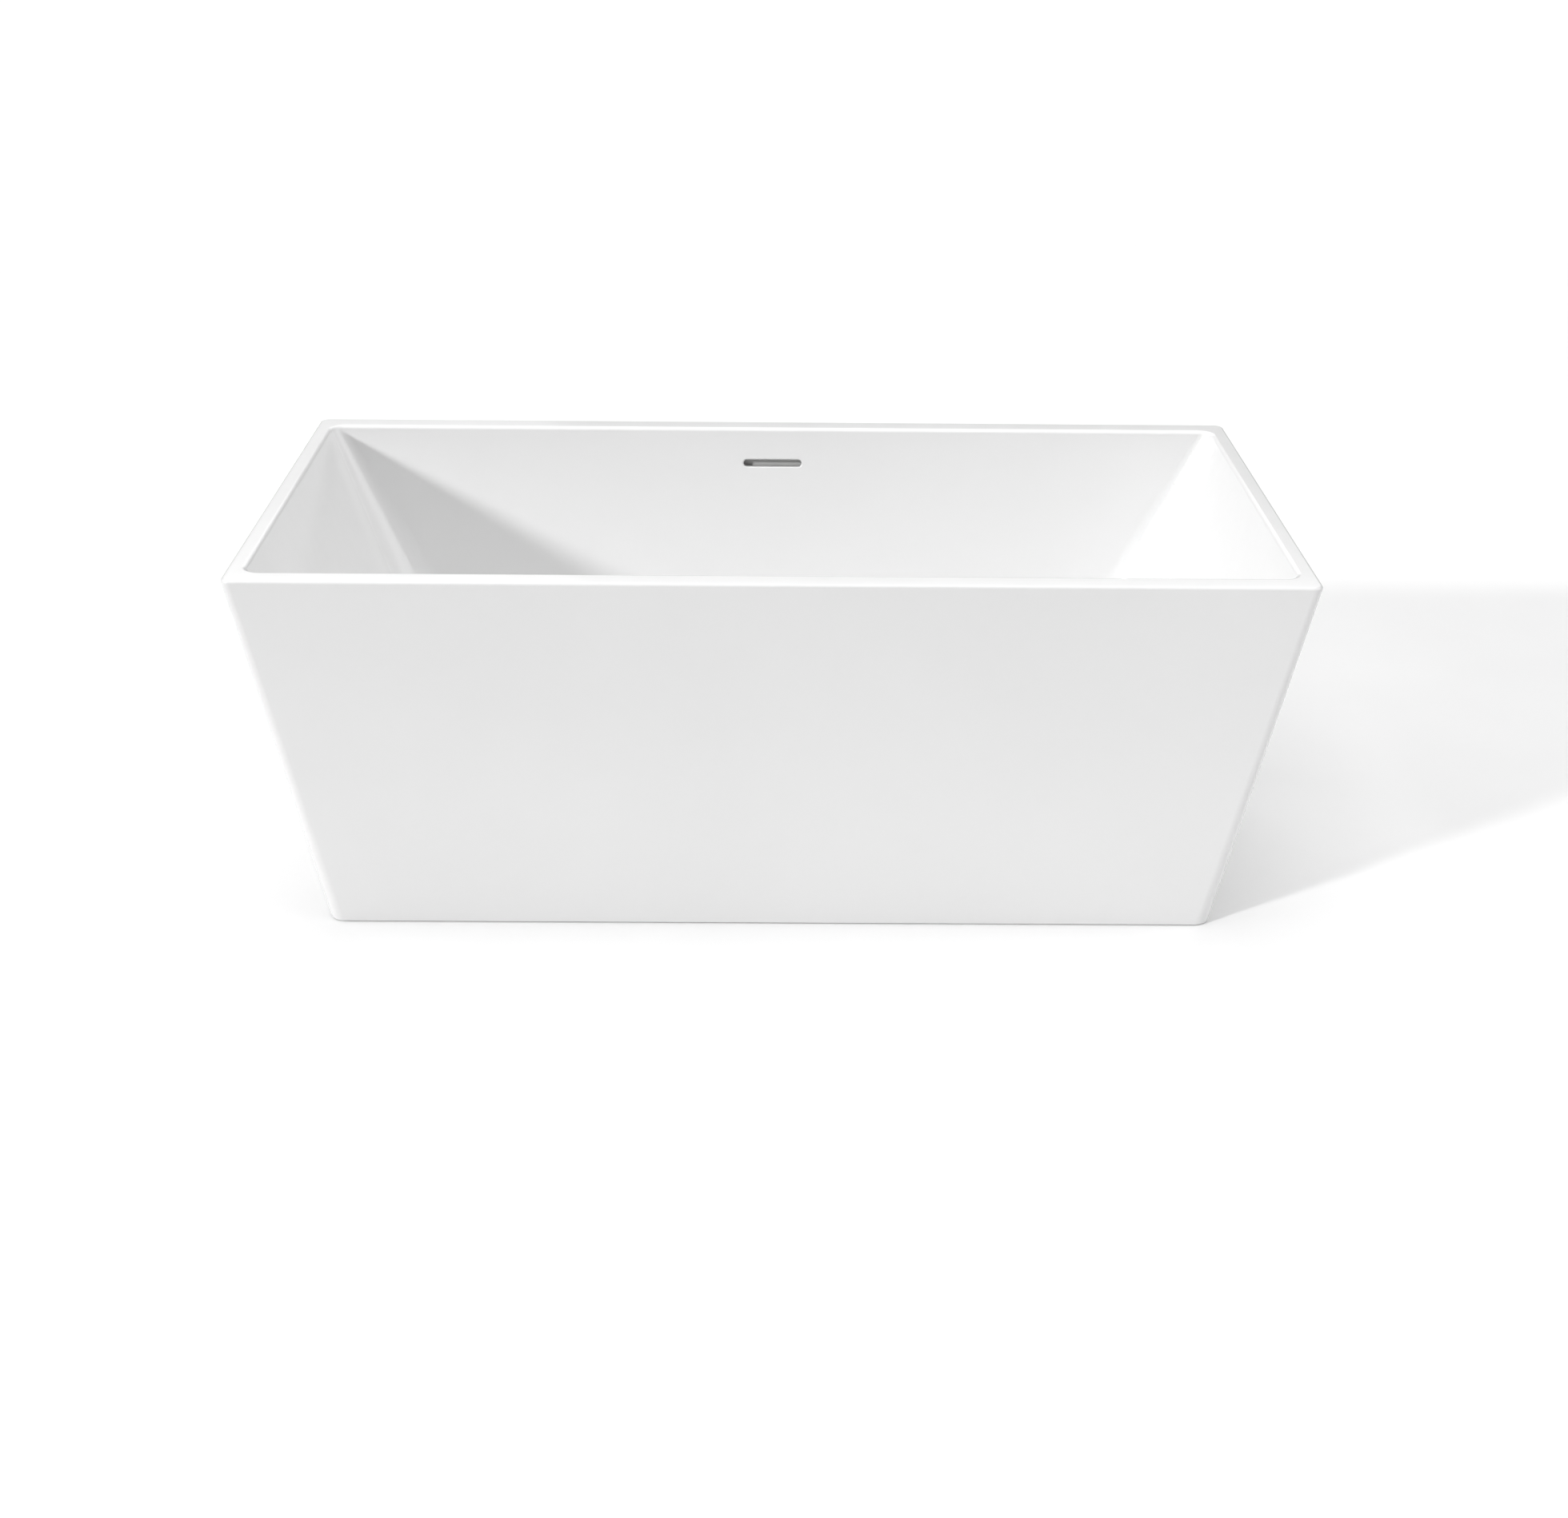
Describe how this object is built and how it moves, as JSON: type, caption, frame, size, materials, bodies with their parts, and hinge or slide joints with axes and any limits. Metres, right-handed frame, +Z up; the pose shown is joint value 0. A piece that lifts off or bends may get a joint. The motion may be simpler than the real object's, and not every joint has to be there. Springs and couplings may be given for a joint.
{
  "type": "freestanding bathtub",
  "caption": "White rectangular double-ended bathtub with tapered sides, a slot overflow in the long wall, a push-to-open drain and screw feet.",
  "frame": {"origin": "on the floor under the middle of the tub", "axes": "+X along the length, +Y from the front panel towards the overflow wall, +Z up"},
  "size_m": [1.4996, 0.7496, 0.58],
  "materials": {
    "acrylic_white": "gloss",
    "glass_fibre": "rough",
    "adhesive": "satin",
    "plywood": "rough",
    "frame_paint": "satin",
    "zinc_steel": "satin",
    "liner_steel": "satin",
    "chrome": "polished",
    "brass": "machined",
    "seal_rubber": "matte",
    "foot_plastic": "matte",
    "fitting_plastic": "satin",
    "hose_plastic": "satin"
  },
  "bodies": {
    "tub": {"basin_shell": "acrylic_white", "basin_laminate": "glass_fibre", "apron_shell": "acrylic_white", "apron_laminate": "glass_fibre", "rim_bond_bead": "adhesive", "base_board": "plywood", "frame_rail_front": "frame_paint", "frame_rail_rear": "frame_paint", "frame_cross_left": "frame_paint", "frame_cross_middle": "frame_paint", "frame_cross_right": "frame_paint", "frame_screws": "zinc_steel", "foot_brackets": "frame_paint", "foot_weld_nuts": "zinc_steel", "foot_lock_nuts": "zinc_steel", "apron_brackets": "frame_paint", "apron_screws": "zinc_steel", "overflow_liner": "liner_steel", "overflow_gasket": "seal_rubber", "overflow_box": "fitting_plastic", "overflow_hose": "hose_plastic", "hose_clamps": "zinc_steel", "drain_body": "chrome", "drain_seal_upper": "seal_rubber", "drain_seal_lower": "seal_rubber", "drain_locknut": "brass", "waste_tee": "fitting_plastic", "waste_tailpiece": "fitting_plastic", "waste_slip_washer": "seal_rubber", "waste_slip_nut": "fitting_plastic", "stopper_cartridge": "brass"},
    "stopper": {"stopper_cap": "chrome", "stopper_seal": "seal_rubber", "stopper_stem": "brass"},
    "pad_1": {"foot_pad_1": "foot_plastic"},
    "stud_1": {"foot_stud_1": "zinc_steel"},
    "pad_2": {"foot_pad_2": "foot_plastic"},
    "stud_2": {"foot_stud_2": "zinc_steel"},
    "pad_3": {"foot_pad_3": "foot_plastic"},
    "stud_3": {"foot_stud_3": "zinc_steel"},
    "pad_4": {"foot_pad_4": "foot_plastic"},
    "stud_4": {"foot_stud_4": "zinc_steel"},
    "pad_5": {"foot_pad_5": "foot_plastic"},
    "stud_5": {"foot_stud_5": "zinc_steel"},
    "pad_6": {"foot_pad_6": "foot_plastic"},
    "stud_6": {"foot_stud_6": "zinc_steel"}
  },
  "joints": [
    {"name": "stopper_lift", "type": "slide", "parent": "tub", "child": "stopper", "axis": [0, 0, 1], "range_m": [0, 0.009]},
    {"name": "foot_travel_1", "type": "slide", "parent": "tub", "child": "pad_1", "axis": [0, 0, -1], "range_m": [0, 0.01925]},
    {"name": "foot_turn_1", "type": "hinge", "parent": "pad_1", "child": "stud_1", "pos_m": [-0.56, -0.232, 0.05], "axis": [0, 0, -1], "range_deg": [0, 3960]},
    {"name": "foot_travel_2", "type": "slide", "parent": "tub", "child": "pad_2", "axis": [0, 0, -1], "range_m": [0, 0.01925]},
    {"name": "foot_turn_2", "type": "hinge", "parent": "pad_2", "child": "stud_2", "pos_m": [0.11, -0.232, 0.05], "axis": [0, 0, -1], "range_deg": [0, 3960]},
    {"name": "foot_travel_3", "type": "slide", "parent": "tub", "child": "pad_3", "axis": [0, 0, -1], "range_m": [0, 0.01925]},
    {"name": "foot_turn_3", "type": "hinge", "parent": "pad_3", "child": "stud_3", "pos_m": [0.56, -0.232, 0.05], "axis": [0, 0, -1], "range_deg": [0, 3960]},
    {"name": "foot_travel_4", "type": "slide", "parent": "tub", "child": "pad_4", "axis": [0, 0, -1], "range_m": [0, 0.01925]},
    {"name": "foot_turn_4", "type": "hinge", "parent": "pad_4", "child": "stud_4", "pos_m": [-0.56, 0.232, 0.05], "axis": [0, 0, -1], "range_deg": [0, 3960]},
    {"name": "foot_travel_5", "type": "slide", "parent": "tub", "child": "pad_5", "axis": [0, 0, -1], "range_m": [0, 0.01925]},
    {"name": "foot_turn_5", "type": "hinge", "parent": "pad_5", "child": "stud_5", "pos_m": [0.11, 0.232, 0.05], "axis": [0, 0, -1], "range_deg": [0, 3960]},
    {"name": "foot_travel_6", "type": "slide", "parent": "tub", "child": "pad_6", "axis": [0, 0, -1], "range_m": [0, 0.01925]},
    {"name": "foot_turn_6", "type": "hinge", "parent": "pad_6", "child": "stud_6", "pos_m": [0.56, 0.232, 0.05], "axis": [0, 0, -1], "range_deg": [0, 3960]}
  ],
  "couplings": [
    {"joint": "foot_turn_1", "follows": "foot_travel_1", "rad_per_m": 3590.4},
    {"joint": "foot_turn_2", "follows": "foot_travel_2", "rad_per_m": 3590.4},
    {"joint": "foot_turn_3", "follows": "foot_travel_3", "rad_per_m": 3590.4},
    {"joint": "foot_turn_4", "follows": "foot_travel_4", "rad_per_m": 3590.4},
    {"joint": "foot_turn_5", "follows": "foot_travel_5", "rad_per_m": 3590.4},
    {"joint": "foot_turn_6", "follows": "foot_travel_6", "rad_per_m": 3590.4}
  ]
}
